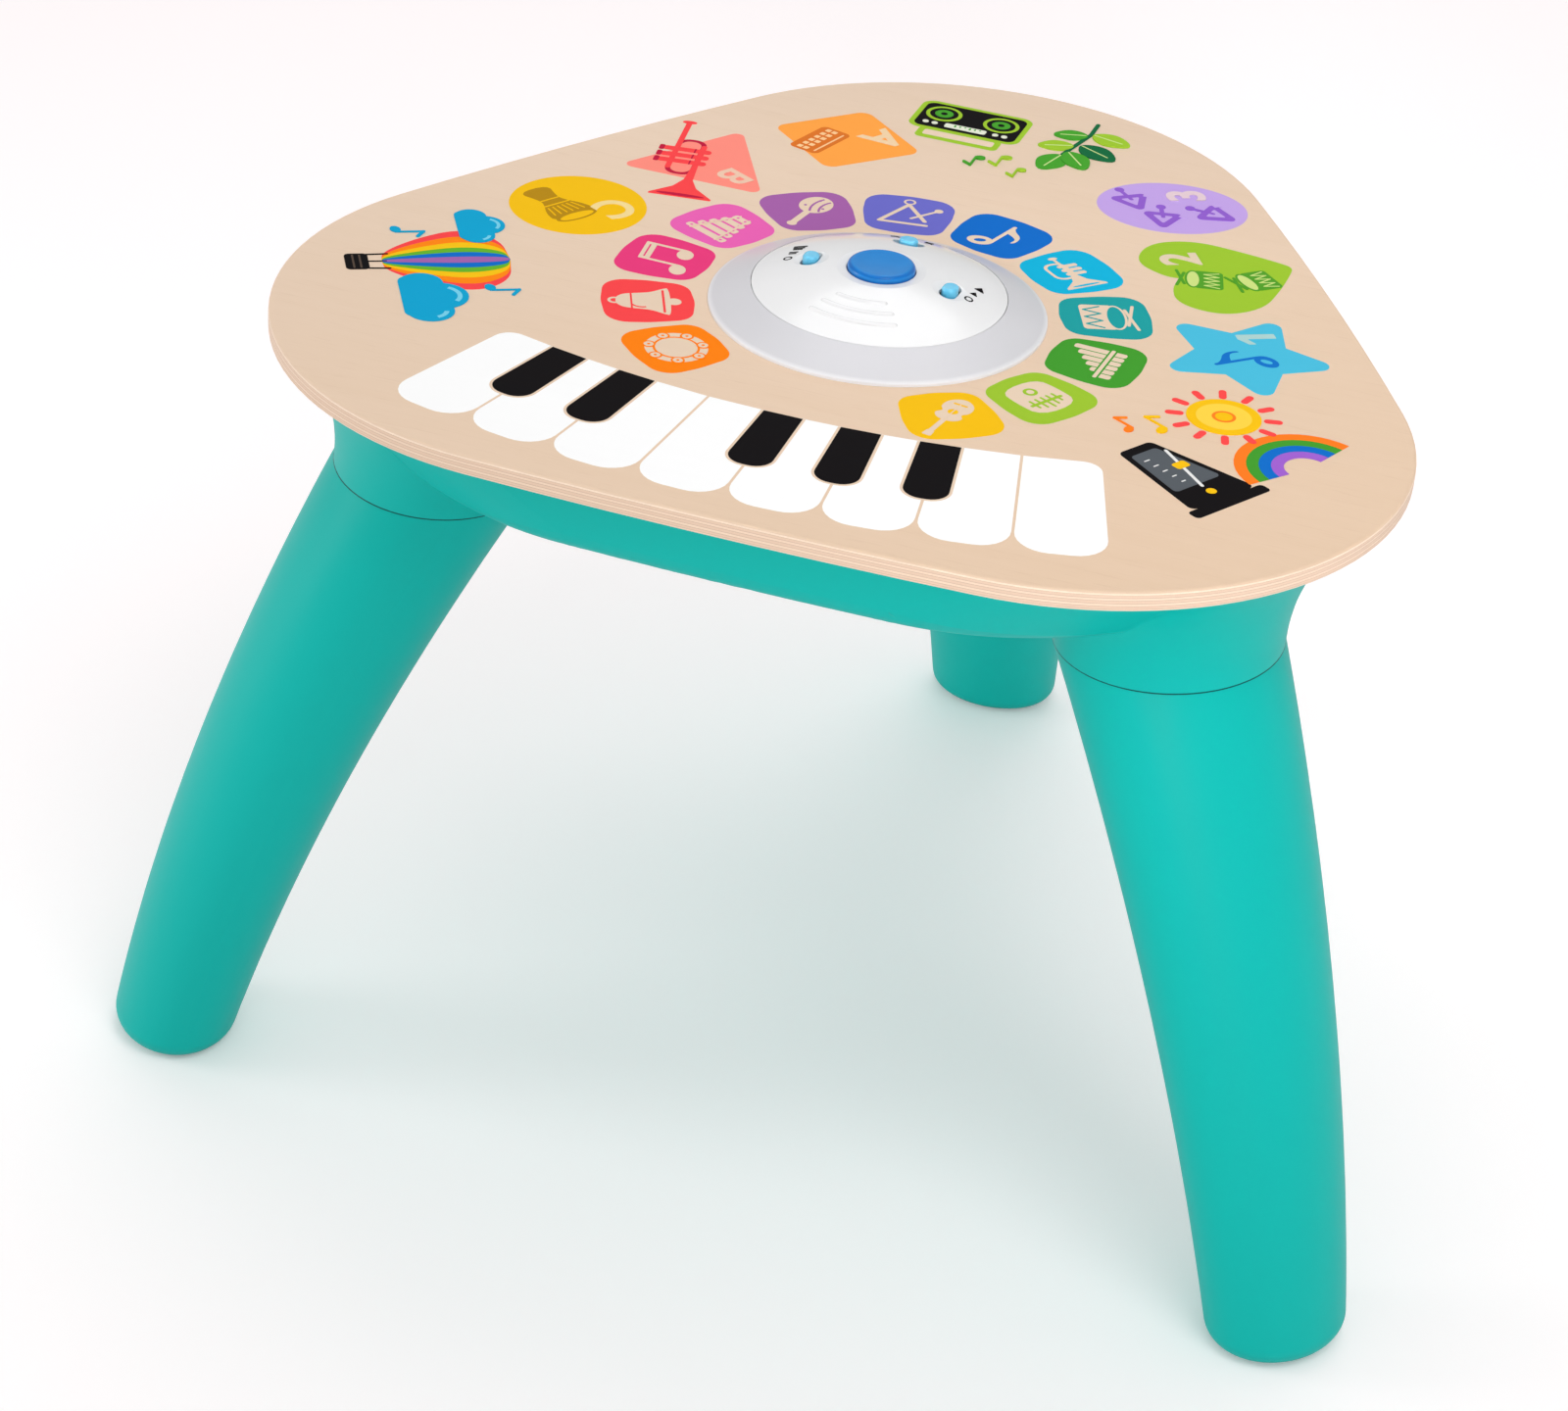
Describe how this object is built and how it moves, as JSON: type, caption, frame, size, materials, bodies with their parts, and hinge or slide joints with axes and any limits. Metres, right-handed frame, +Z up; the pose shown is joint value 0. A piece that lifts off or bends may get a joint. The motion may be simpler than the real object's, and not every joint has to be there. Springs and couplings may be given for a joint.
{
  "type": "musical activity table",
  "caption": "Low toddler's music table with a rounded-triangle plywood touch top, a central control dome and splayed moulded legs.",
  "frame": {"origin": "middle of the bounding box at floor level, 60.9 mm behind the dome's axis", "axes": "+Z up; -Y towards the side with the piano keys; +X to the right of a child at the keys"},
  "size_m": [0.5716, 0.5263, 0.3764],
  "materials": {
    "maple_plywood": "clear matt lacquer over pale maple plywood, plies showing at the edge",
    "sensor_film": "thin polyester film",
    "teal_plastic": "satin moulded plastic",
    "zinc_screws": "zinc plated",
    "frosted_ring": "frosted translucent, polished face",
    "white_plastic": "glossy moulded plastic",
    "black_plastic": "moulded plastic",
    "blue_button": "translucent glossy plastic",
    "sky_knob": "translucent glossy plastic",
    "silicone": "soft silicone",
    "circuit_board": "glass-fibre board with green resist",
    "lamp_white": "small moulded lamps",
    "steel_sheet": "pressed and plated",
    "ferrite": "sintered magnet with a plated cup",
    "cone_paper": "coated paper",
    "cell_jacket": "plain printed jacket",
    "lead_insulation": "soft insulation",
    "foot_rubber": "soft thermoplastic rubber",
    "printed_ink": "flat printed ink in many colours"
  },
  "bodies": {
    "table": {"plywood_top": "maple_plywood", "touch_sensor_film": "sensor_film", "lower_body": "teal_plastic", "top_screws": "zinc_screws", "light_ring": "frosted_ring", "dome_cap": "white_plastic", "dome_base": "black_plastic", "dome_screws": "zinc_screws", "button_contact_dome": "silicone", "dome_board": "circuit_board", "dome_board_screws": "zinc_screws", "ring_lamps": "lamp_white", "slide_switch_cases": "steel_sheet", "main_board": "circuit_board", "main_board_parts": "black_plastic", "main_board_screws": "zinc_screws", "speaker_frame": "steel_sheet", "speaker_magnet": "ferrite", "speaker_cone": "cone_paper", "speaker_screws": "zinc_screws", "battery_contact_plates": "steel_sheet", "battery_contact_springs": "steel_sheet", "dome_lead": "lead_insulation", "speaker_lead": "lead_insulation", "battery_lead": "lead_insulation", "battery_1": "cell_jacket", "battery_2": "cell_jacket", "battery_3": "cell_jacket", "leg_front_left": "teal_plastic", "foot_pad_front_left": "foot_rubber", "leg_front_right": "teal_plastic", "foot_pad_front_right": "foot_rubber", "leg_back": "teal_plastic", "foot_pad_back": "foot_rubber"},
    "centre_button": {"centre_button": "blue_button"},
    "left_slider": {"left_slider": "sky_knob"},
    "back_slider": {"back_slider": "sky_knob"},
    "right_slider": {"right_slider": "sky_knob"},
    "battery_door": {"battery_door": "teal_plastic"},
    "battery_door_screw": {"battery_door_screw": "zinc_screws"}
  },
  "joints": [
    {"name": "button_press", "type": "slide", "parent": "table", "child": "centre_button", "axis": [0, 0, -1], "range_m": [0, 0.0015], "stiffness_N_per_m": 500, "springref_m": -0.0008, "deforming": ["button_contact_dome"]},
    {"name": "left_slider_slide", "type": "slide", "parent": "table", "child": "left_slider", "axis": [0, -1, 0], "range_m": [-0.0025, 0.0025]},
    {"name": "back_slider_slide", "type": "slide", "parent": "table", "child": "back_slider", "axis": [-1, 0.0087, 0], "range_m": [-0.0025, 0.0025]},
    {"name": "right_slider_slide", "type": "slide", "parent": "table", "child": "right_slider", "axis": [0.061, 0.9981, 0], "range_m": [-0.0025, 0.0025]},
    {"name": "battery_door_hinge", "type": "hinge", "parent": "table", "child": "battery_door", "pos_m": [0, -0.03066, 0.3137], "axis": [-1, 0, 0], "range_deg": [0, 70]},
    {"name": "door_screw_turn", "type": "hinge", "parent": "battery_door", "child": "battery_door_screw", "pos_m": [0, 0.02894, 0.3125], "axis": [0, 0, -1], "continuous": true}
  ]
}
